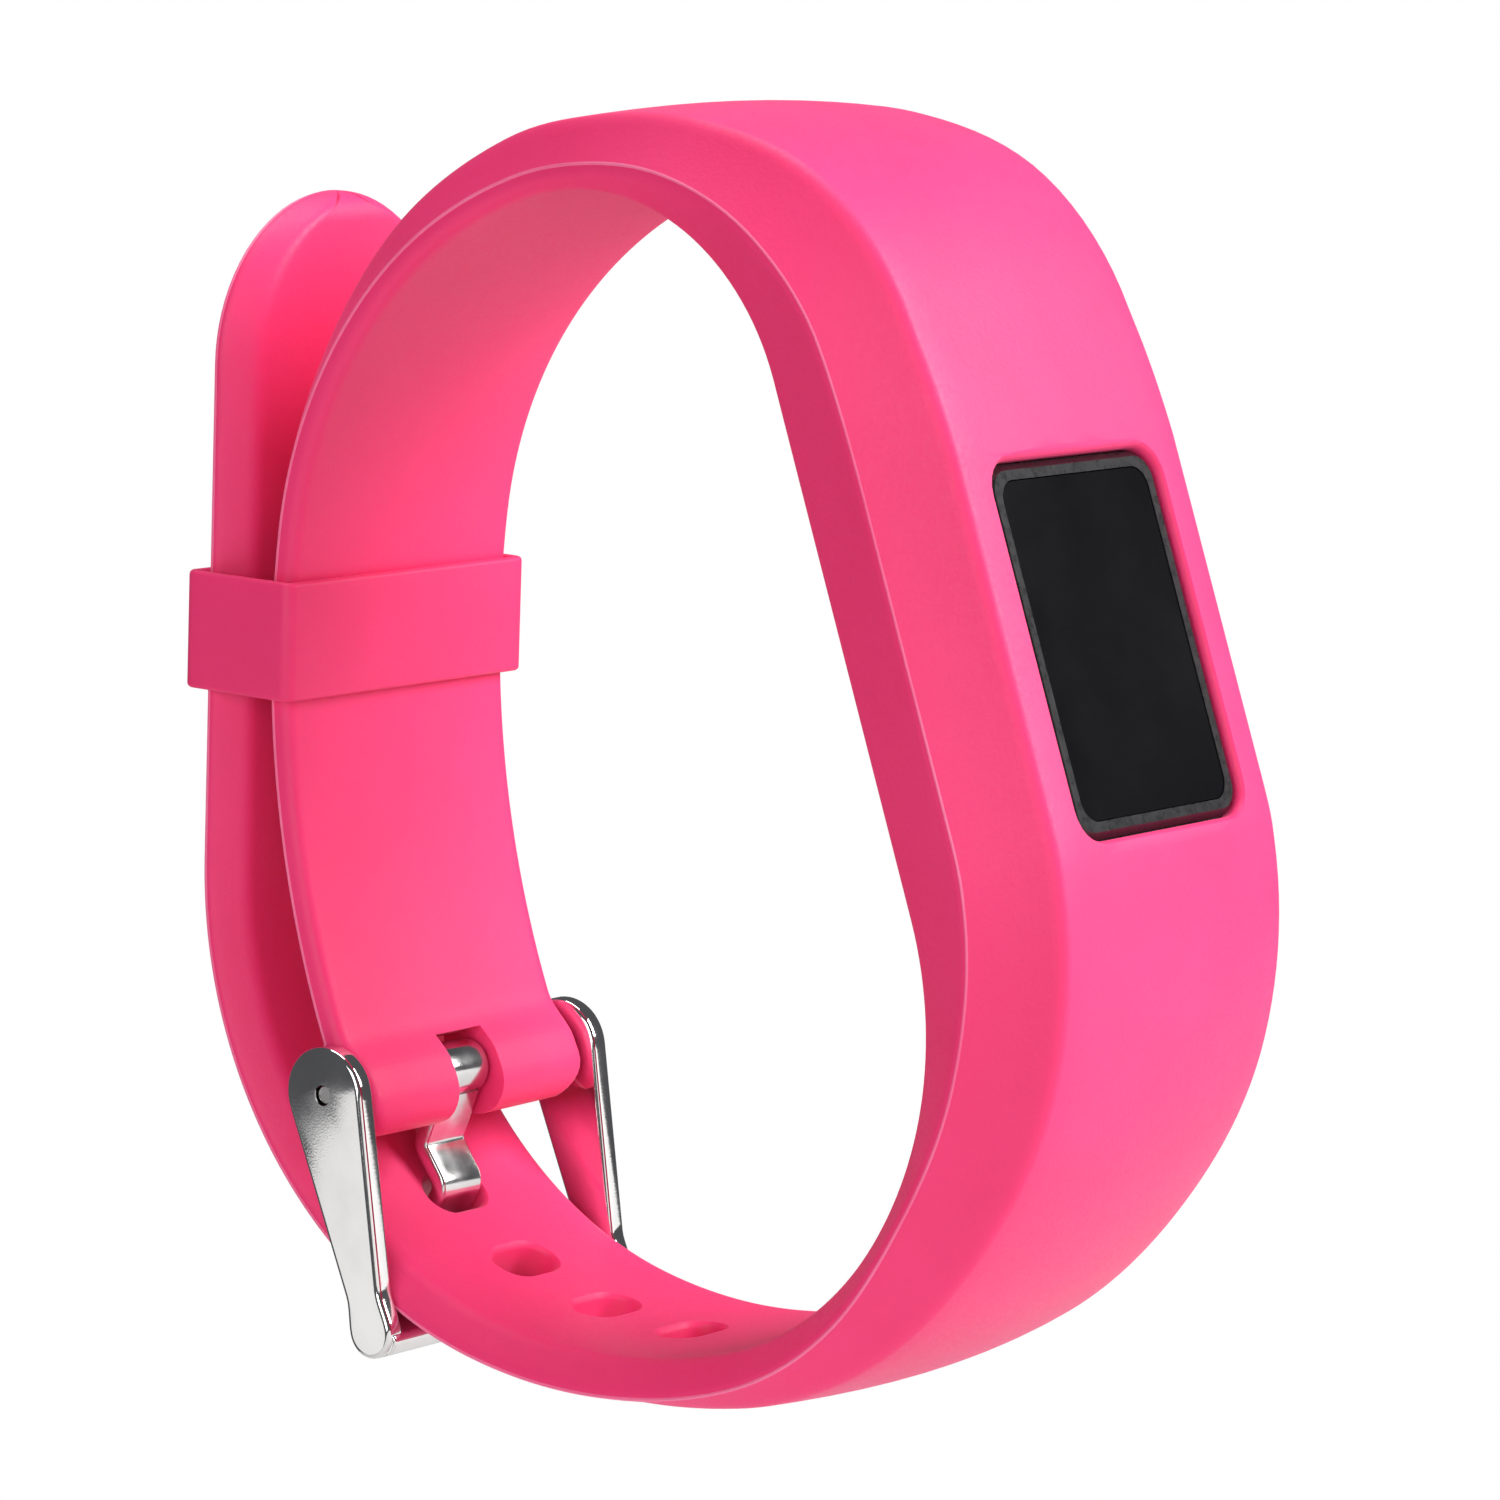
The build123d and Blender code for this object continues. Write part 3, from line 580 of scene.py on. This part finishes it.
# ---- Buckle frame ----
# Polished stainless steel: two arms that narrow at the neck and a flat crossbar in one piece, its
# edges rounded over. Each round head is drilled for the spring bar's tip.
arm_inner = 8.15
arm_thickness = 1.05
head_radius = 2.35
neck_radius = 1.1
neck_share = 0.85
foot_radius = 1.3
arm_round = 0.26
crossbar_heading = 45.0
crossbar_length = 3.0
crossbar_thickness = 1.2
crossbar_gap = 0.3
crossbar_round = 0.45


def bend_point(heading, height):
    """Point over the bend at the buckle, where the strap has this heading."""
    reach = bend_radius + height
    angle = radians(heading)
    return Vector((bend_centre[0] + reach * sin(angle), bend_centre[1] - reach * cos(angle)))


crossbar_middle = bend_point(crossbar_heading, strap_thickness + crossbar_gap + crossbar_thickness / 2)
pin = Vector((pin_y, pin_z))
down = (crossbar_middle - pin).normalized()
across = Vector((-down.y, down.x))
arm_length = (crossbar_middle - pin).length


lean = (head_radius - neck_radius) / (arm_length * neck_share)
head_run = head_radius * lean
neck_run = arm_length * neck_share


def arm_half(run):
    """Half width of the arm this far from the pin's centre: round head, straight taper, rounded foot."""
    if run < head_run:
        return sqrt(max(head_radius ** 2 - run ** 2, 0))
    if run < neck_run:
        head_half = sqrt(head_radius ** 2 - head_run ** 2)
        return mix(head_half, neck_radius, (run - head_run) / (neck_run - head_run))
    if run <= arm_length:
        return mix(neck_radius, foot_radius, smooth((run - neck_run) / (arm_length - neck_run)))
    return sqrt(max(foot_radius ** 2 - (run - arm_length) ** 2, 0))


arm_runs = [head_radius * -cos(radians(turn)) for turn in range(4, 88, 6)]
arm_runs += [index * 0.3 for index in range(int(arm_length / 0.3) + 1)]
arm_runs += [arm_length + foot_radius * sin(radians(turn)) for turn in range(6, 90, 7)]
arm_runs = sorted(set(round(run, 4) for run in arm_runs))
edge_up = [pin + down * run + across * arm_half(run) for run in arm_runs]
edge_down = [pin + down * run - across * arm_half(run) for run in reversed(arm_runs)]
arm_edge = edge_up + edge_down


def inset_edge(points, amount):
    """Closed outline moved inwards by amount along its own normals."""
    moved = []
    for index, point in enumerate(points):
        ahead = points[(index + 1) % len(points)] - points[index - 1]
        normal = Vector((ahead.y, -ahead.x)).normalized()
        moved.append(point + normal * amount)
    return moved


def plate(name, outline, x_low, x_high, radius, steps=5):
    """Plate across X with every edge rounded over; its outline is in Y and Z."""
    rings = []
    for x_edge, way in ((x_low, 1), (x_high, -1)):
        arcs = []
        for step in range(steps + 1):
            turn = pi / 2 * step / steps
            ring = inset_edge(outline, radius * (1 - sin(turn)))
            arcs.append([(x_edge + way * radius * (1 - cos(turn)), *point) for point in ring])
        rings += arcs if way > 0 else arcs[::-1]
    return loft_piece(name, rings)


if (arm_edge[1] - arm_edge[0]).cross(arm_edge[2] - arm_edge[1]) > 0:
    arm_edge.reverse()
buckle = plate("buckle_frame_forging", arm_edge, arm_inner, arm_inner + arm_thickness, arm_round)
other = plate("buckle_arm", arm_edge, -arm_inner - arm_thickness, -arm_inner, arm_round)
cut(buckle, other, "UNION")
heading = Vector((cos(radians(crossbar_heading)), sin(radians(crossbar_heading))))
rise = Vector((heading.y, -heading.x))
bar_edge = [
    crossbar_middle + heading * a + rise * t
    for a, t in rounded_outline(crossbar_length, crossbar_thickness, crossbar_round, 8)
]
if (bar_edge[1] - bar_edge[0]).cross(bar_edge[2] - bar_edge[1]) > 0:
    bar_edge.reverse()
bar_reach = arm_inner + arm_thickness - arm_round
cut(buckle, plate("buckle_crossbar", bar_edge, -bar_reach, bar_reach, 0.12), "UNION")
tip_hole = 0.5
cut(buckle, round_bar("tip_hole_cut", tip_hole, -12, 12, pin_y, pin_z))
shade(buckle, 40)


def polished_steel(name, colour=(0.74, 0.73, 0.715), roughness=0.06):
    """Mirror-polished steel with fine polishing lines, hairline scuffs and a breath of haze."""
    material, tree, shader, place = finish_nodes(name, colour, roughness, 1.0)
    stretch = tree.nodes.new("ShaderNodeMapping")
    stretch.inputs["Scale"].default_value = (0.12, 1, 1)
    tree.links.new(place, stretch.inputs["Vector"])
    lines = noise(tree, stretch.outputs["Vector"], 9000, 2, 0.6)
    haze = noise(tree, place, 420, 4)
    low, high = roughness * 0.7, roughness * 1.5
    tree.links.new(ramp(tree, haze, ((0.35, low), (0.7, high))), shader.inputs["Roughness"])
    dull = tuple(channel * 0.9 for channel in colour)
    tree.links.new(ramp(tree, haze, ((0.3, dull), (0.6, colour))), shader.inputs["Base Color"])
    bump(tree, shader, lines, 0.000002, 0.35)
    return material


frame_steel = polished_steel("buckle_steel")
dress(buckle, frame_steel)
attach(buckle, "buckle")
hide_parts("buckle_frame")


# ---- Buckle tongue ----
# Steel strip curled into an eye round the spring bar and bent in an S: through the slot, down
# through one hole of the long strap, and flat onto the crossbar.
tongue_width = 2.9
tongue_thickness = 0.9
eye_radius = 1.35
tongue_bend = 0.7
tongue_round = 0.2
rest_gap = 0.05
overhang = 0.6
knee_turn = 7.0
knee_height = 0.95
slant = 0.6
sink = 0.4


def filleted(points, radius, pitch=0.12):
    """Flat path through these corners with round bends, as pairs of point and direction."""
    pairs = []
    trims = [0.0] * len(points)
    for index in range(1, len(points) - 1):
        turn = (points[index] - points[index - 1]).angle(points[index + 1] - points[index])
        trims[index] = radius * tan(turn / 2)
    for index in range(len(points) - 1):
        way = (points[index + 1] - points[index]).normalized()
        start = points[index] + way * trims[index]
        end = points[index + 1] - way * trims[index + 1]
        count = max(1, int((end - start).length / pitch))
        pairs += [(start.lerp(end, step / count), way) for step in range(count + 1)]
        if index + 2 < len(points):
            onto = (points[index + 2] - points[index + 1]).normalized()
            side = 1 if way.cross(onto) > 0 else -1
            centre = end + Vector((-way.y, way.x)) * side * radius
            turn = way.angle(onto) * side
            steps = max(2, int(abs(degrees(turn)) / 8))
            for step in range(1, steps):
                spun = Matrix.Rotation(turn * step / steps, 2)
                pairs.append((centre + spun @ (end - centre), spun @ way))
    return pairs


lift = (crossbar_thickness + tongue_thickness) / 2 + rest_gap
rest = crossbar_middle + rise * lift
reach = overhang * crossbar_length
tongue_path = filleted([
    pin - Vector((0, (eye_radius + bore_radius) / 2)),
    bend_point(tongue_crossing + knee_turn, -knee_height),
    bend_point(tongue_crossing + slant - sink, -tongue_thickness / 2),
    bend_point(tongue_crossing - slant - sink, strap_thickness + tongue_thickness),
    rest + heading * reach,
    rest - heading * reach,
], tongue_bend)
tongue_rings = []
tip_point = tongue_path[-1][0]
for point, way in tongue_path:
    normal = Vector((-way.y, way.x))
    to_tip = (tip_point - point).length
    width, thickness = tongue_width, tongue_thickness
    if to_tip < 0.6 and (point - rest).length > 0.5:
        ease = sqrt(max(1 - (1 - to_tip / 0.6) ** 2, 0.002))
        width = tongue_width - 1.0 * (1 - ease)
        thickness = tongue_thickness * mix(0.35, 1, ease)
    outline = rounded_outline(width, thickness, min(tongue_round, thickness * 0.45), 4)
    tongue_rings.append([(x, *(point + normal * t)) for x, t in outline])
tongue = loft_piece("buckle_tongue_strip", tongue_rings)
turns = [2 * pi * index / 48 for index in range(48)]
eye_section = rounded_outline(tongue_width, eye_radius - bore_radius, tongue_round, 4)
eye_middle = (eye_radius + bore_radius) / 2
eye = loft_piece("tongue_eye", [
    [(x, pin_y + (eye_middle + t) * cos(turn), pin_z + (eye_middle + t) * sin(turn)) for x, t in eye_section]
    for turn in turns
], closed=True)
cut(tongue, eye, "UNION")
cut(tongue, round_bar("eye_cut", bore_radius, -4, 4, pin_y, pin_z, 48))
shade(tongue, 40)
dress(tongue, polished_steel("tongue_steel", (0.7, 0.69, 0.68), 0.17))
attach(tongue, "tongue")
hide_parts("buckle_tongue")


# ---- Spring bar ----
# Crimped stainless tube with a sprung tip at each end and a coil spring between them, the same
# part that holds a watch strap. The tips show as small rings in the buckle's heads.
coil_radius = 0.42
wire_radius = 0.07
coil_turns = 22
coil_low, coil_high = (corner.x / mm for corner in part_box("spring_bar_spring"))
coil_low, coil_high = coil_low + wire_radius, coil_high - wire_radius
coil_steps = coil_turns * 24
coil_rings = []
for index in range(coil_steps + 1):
    turn = 2 * pi * coil_turns * index / coil_steps
    out = Vector((0, cos(turn), sin(turn)))
    centre = Vector((mix(coil_low, coil_high, index / coil_steps), pin_y, pin_z)) + out * coil_radius
    coil_rings.append([
        centre + out * wire_radius * cos(side) + Vector((wire_radius * sin(side), 0, 0))
        for side in [2 * pi * step / 8 for step in range(8)]
    ])
coil = loft_piece("spring_bar_coil", coil_rings)
shade(coil, 60)
bar_steel = polished_steel("spring_bar_steel", (0.5, 0.49, 0.48), 0.24)
dress(coil, bar_steel)
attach(coil, "band")
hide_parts("spring_bar_spring")
for node in ("spring_bar_tube", "spring_bar_tip_left", "spring_bar_tip_right"):
    dress(nodes[node], bar_steel)


# ---- Pod casing, lens and back ----
# Moulded black casing whose raised face fills the window, a tinted lens set in it, and a rear
# cover with a seal. The casing has one finish all over, a light coat on a fine spark-eroded grain.
def moulded_plastic(name, colour, rough, grain_scale=3000, depth=0.000008, coat=0.0):
    """Moulded plastic with a spark-eroded grain and slightly uneven gloss."""
    material, tree, shader, place = finish_nodes(name, colour, rough)
    grain = noise(tree, place, grain_scale, 4, 0.6)
    cloud = noise(tree, place, 90, 3)
    lighter = tuple(min(channel * 1.25 + 0.002, 1) for channel in colour)
    tree.links.new(ramp(tree, cloud, ((0.35, colour), (0.7, lighter))), shader.inputs["Base Color"])
    tree.links.new(ramp(tree, grain, ((0.3, rough * 0.8), (0.7, rough * 1.2))), shader.inputs["Roughness"])
    bump(tree, shader, grain, depth, 0.6)
    shader.inputs["Coat Weight"].default_value = coat
    shader.inputs["Coat Roughness"].default_value = 0.08
    return material


casing_black = moulded_plastic("casing_black", (0.006, 0.006, 0.007), 0.3, 2600, 0.000003, 0.1)
dress(nodes["pod_front_shell"], casing_black)
dress(nodes["rear_cover"], moulded_plastic("rear_cover_black", (0.011, 0.011, 0.012), 0.42, 2600, 0.00001))
dress(nodes["rear_cover_seal"], moulded_plastic("seal_rubber", (0.02, 0.02, 0.022), 0.65, 4000, 0.00001))
dress(nodes["display_gasket"], moulded_plastic("gasket_foam", (0.016, 0.016, 0.016), 0.85, 1800, 0.00004))
dress(nodes["inner_chassis"], moulded_plastic("chassis_plastic", (0.72, 0.72, 0.69), 0.45, 2400, 0.000012))


def tinted_glass(name):
    """Dark tinted lens with faint smudges in its gloss, tint and surface."""
    material, tree, shader, place = finish_nodes(name, (0.006, 0.006, 0.007), 0.12)
    smudge = noise(tree, place, 160, 5, 0.6)
    tree.links.new(ramp(tree, smudge, ((0.35, 0.09), (0.75, 0.2))), shader.inputs["Roughness"])
    tint = ramp(tree, smudge, ((0.3, (0.005, 0.005, 0.006)), (0.8, (0.008, 0.008, 0.009))))
    tree.links.new(tint, shader.inputs["Base Color"])
    shader.inputs["Specular IOR Level"].default_value = 0.12
    bump(tree, shader, smudge, 0.000001, 0.3)
    return material


dress(nodes["display_window"], tinted_glass("lens_glass"))


# ---- Display, board and chips ----
# An OLED panel with a printed flex tail folded onto the board, and the board's packages: processor,
# radio, motion sensor, clock crystal and a ceramic aerial.
def striped(name, colour, line_colour, pitch, rough, metallic=0.0, axis=0):
    """Fine parallel lines, as on a printed flex or a display's rows."""
    material, tree, shader, place = finish_nodes(name, colour, rough, metallic)
    split = tree.nodes.new("ShaderNodeSeparateXYZ")
    tree.links.new(place, split.inputs["Vector"])
    wave = tree.nodes.new("ShaderNodeMath")
    wave.operation = "PINGPONG"
    wave.inputs[1].default_value = pitch
    tree.links.new(split.outputs[axis], wave.inputs[0])
    level = tree.nodes.new("ShaderNodeMath")
    level.operation = "DIVIDE"
    level.inputs[1].default_value = pitch
    tree.links.new(wave.outputs[0], level.inputs[0])
    lines = ramp(tree, level.outputs[0], ((0.45, colour), (0.6, line_colour)))
    tree.links.new(lines, shader.inputs["Base Color"])
    cloud = noise(tree, place, 900, 3)
    tree.links.new(ramp(tree, cloud, ((0.3, rough * 0.8), (0.7, rough * 1.2))), shader.inputs["Roughness"])
    bump(tree, shader, level.outputs[0], 0.00001, 0.4)
    return material


display_rows = striped("display_rows", (0.012, 0.012, 0.016), (0.02, 0.02, 0.03), 0.0001, 0.2, axis=2)
dress(nodes["display_panel"], display_rows)
dress(nodes["display_flex"], striped("flex_film", (0.42, 0.16, 0.03), (0.6, 0.3, 0.08), 0.00025, 0.35))


def solder_mask(name):
    """Green solder mask over etched copper, mottled where the tracks run beneath it."""
    material, tree, shader, place = finish_nodes(name, (0.01, 0.11, 0.04), 0.35)
    tracks = tree.nodes.new("ShaderNodeTexVoronoi")
    tracks.feature = "DISTANCE_TO_EDGE"
    tracks.distance = "MANHATTAN"
    tracks.inputs["Scale"].default_value = 900
    tree.links.new(place, tracks.inputs["Vector"])
    green = ramp(tree, tracks.outputs["Distance"], ((0.06, (0.03, 0.2, 0.08)), (0.12, (0.008, 0.09, 0.035))))
    tree.links.new(green, shader.inputs["Base Color"])
    bump(tree, shader, tracks.outputs["Distance"], 0.00003, 0.4)
    return material


dress(nodes["circuit_board"], solder_mask("board_mask"))
package = moulded_plastic("package_epoxy", (0.016, 0.016, 0.018), 0.5, 5000, 0.00001)
for node in ("processor_chip", "radio_chip"):
    dress(nodes[node], package)


def brushed_metal(name, colour, rough, scale=(1, 1, 0.05)):
    """Metal with fine brushing or rolling lines and a little stain."""
    material, tree, shader, place = finish_nodes(name, colour, rough, 1.0)
    stretch = tree.nodes.new("ShaderNodeMapping")
    stretch.inputs["Scale"].default_value = scale
    tree.links.new(place, stretch.inputs["Vector"])
    lines = noise(tree, stretch.outputs["Vector"], 8000, 3, 0.6)
    tree.links.new(ramp(tree, lines, ((0.3, rough * 0.7), (0.7, rough * 1.3))), shader.inputs["Roughness"])
    stain = noise(tree, place, 500, 3)
    dull = tuple(channel * 0.8 for channel in colour)
    tree.links.new(ramp(tree, stain, ((0.3, dull), (0.65, colour))), shader.inputs["Base Color"])
    bump(tree, shader, lines, 0.000003, 0.5)
    return material


for node in ("motion_sensor", "clock_crystal"):
    dress(nodes[node], brushed_metal(f"{node}_lid", (0.72, 0.7, 0.66), 0.3))
dress(nodes["chip_antenna"], moulded_plastic("aerial_ceramic", (0.75, 0.73, 0.68), 0.4, 3500, 0.00001))


# ---- Battery ----
# Lithium pouch cell in crinkled aluminium laminate, on a thin foam pad.
def pouch_foil(name):
    material, tree, shader, place = finish_nodes(name, (0.66, 0.67, 0.69), 0.3, 1.0)
    crinkle = noise(tree, place, 700, 5, 0.65)
    tree.links.new(ramp(tree, crinkle, ((0.3, 0.22), (0.7, 0.42))), shader.inputs["Roughness"])
    foil = ramp(tree, crinkle, ((0.3, (0.55, 0.56, 0.58)), (0.7, (0.72, 0.73, 0.75))))
    tree.links.new(foil, shader.inputs["Base Color"])
    bump(tree, shader, crinkle, 0.00006, 0.6)
    return material


dress(nodes["battery_pouch"], pouch_foil("battery_foil"))
dress(nodes["battery_foam_pad"], moulded_plastic("pad_foam", (0.03, 0.03, 0.032), 0.9, 2200, 0.00004))


# ---- Vibration motor ----
# Coin motor: a pressed steel can with a tungsten half-weight that turns about a fixed shaft.
dress(nodes["vibration_motor_can"], brushed_metal("motor_can_steel", (0.62, 0.61, 0.6), 0.28, (1, 0.05, 1)))
dress(nodes["vibration_motor_rotor"], brushed_metal("rotor_tungsten", (0.3, 0.3, 0.31), 0.4))


# ---- Screws and charging contacts ----
# Four slotted steel screws and two gold-plated contacts that end just under the rear cover's face.
dress(nodes["rear_cover_screws"], brushed_metal("screw_steel", (0.55, 0.54, 0.53), 0.25, (1, 0.1, 1)))
dress(nodes["charging_contacts"], brushed_metal("contact_gold", (0.95, 0.68, 0.28), 0.2, (1, 0.1, 1)))


# ---- Camera, light and floor ----
# The band is seen from its left and a little below, tilted, against white, in soft studio light.
aim = Vector((2.85, -3.60, 0.49)) * mm
camera_distance = 0.2985
camera_azimuth = radians(-51.25)
camera_elevation = radians(-3.94)
camera_roll = radians(-14.22)
back = Vector((
    sin(camera_azimuth) * cos(camera_elevation),
    -cos(camera_azimuth) * cos(camera_elevation),
    sin(camera_elevation),
))
level = (-back).cross(Vector((0, 0, 1))).normalized()
over = level.cross(-back)
right = level * cos(camera_roll) + over * sin(camera_roll)
up = over * cos(camera_roll) - level * sin(camera_roll)
camera_data = bpy.data.cameras.new("studio_camera")
camera_data.sensor_width = 36
camera_data.lens = 152.2
camera_data.clip_start = 0.01
camera_data.clip_end = 20
camera = bpy.data.objects.new("studio_camera", camera_data)
bpy.context.scene.collection.objects.link(camera)
camera_turn = Matrix((right, up, back)).transposed().to_4x4()
camera.matrix_world = Matrix.Translation(aim + back * camera_distance) @ camera_turn
bpy.context.scene.camera = camera
bpy.context.scene.view_settings.view_transform = "Standard"


def soft_light(name, place, size, watts, colour=(1, 1, 1)):
    """Square soft box at place, aimed at the object."""
    light = bpy.data.lights.new(name, "AREA")
    light.shape = "SQUARE"
    light.size = size
    light.energy = watts
    light.color = colour
    lamp = bpy.data.objects.new(name, light)
    bpy.context.scene.collection.objects.link(lamp)
    lamp.location = place
    lamp.rotation_mode = "QUATERNION"
    lamp.rotation_quaternion = (-Vector(place)).to_track_quat("-Z", "Y")


soft_light("front_box", (0.26, -0.62, 0.2), 0.45, 7.4)
soft_light("top_box", (0.0, -0.1, 0.65), 0.4, 2.6)
soft_light("left_box", (-0.6, -0.22, 0.1), 0.4, 1.85)
soft_light("arm_box", (-0.56, 0.53, -0.14), 0.3, 0.28)

world = bpy.data.worlds.new("studio")
bpy.context.scene.world = world
world.use_nodes = True
tree = world.node_tree
room = tree.nodes["Background"]
room.inputs["Color"].default_value = (0.9, 0.92, 1, 1)
room.inputs["Strength"].default_value = 0.11
backdrop = tree.nodes.new("ShaderNodeBackground")
backdrop.inputs["Color"].default_value = (1, 1, 1, 1)
backdrop.inputs["Strength"].default_value = 1.0
path = tree.nodes.new("ShaderNodeLightPath")
choose = tree.nodes.new("ShaderNodeMixShader")
tree.links.new(path.outputs["Is Camera Ray"], choose.inputs[0])
tree.links.new(room.outputs[0], choose.inputs[1])
tree.links.new(backdrop.outputs[0], choose.inputs[2])
tree.links.new(choose.outputs[0], tree.nodes["World Output"].inputs["Surface"])

floor_z = -80.0
floor_radius = 250.0
floor = mesh_piece("studio_floor", [
    (floor_radius * cos(turn), floor_radius * sin(turn), floor_z)
    for turn in [2 * pi * index / 96 for index in range(96)]
], [tuple(range(96))])


def studio_paper(name):
    """Matt white background paper with a faint tooth."""
    material, tree, shader, place = finish_nodes(name, (0.88, 0.88, 0.88), 0.85)
    tooth = noise(tree, place, 900, 3)
    tree.links.new(ramp(tree, tooth, ((0.3, 0.87), (0.7, 0.89))), shader.inputs["Base Color"])
    bump(tree, shader, tooth, 0.00002, 0.3)
    return material


dress(floor, studio_paper("floor_paper"))
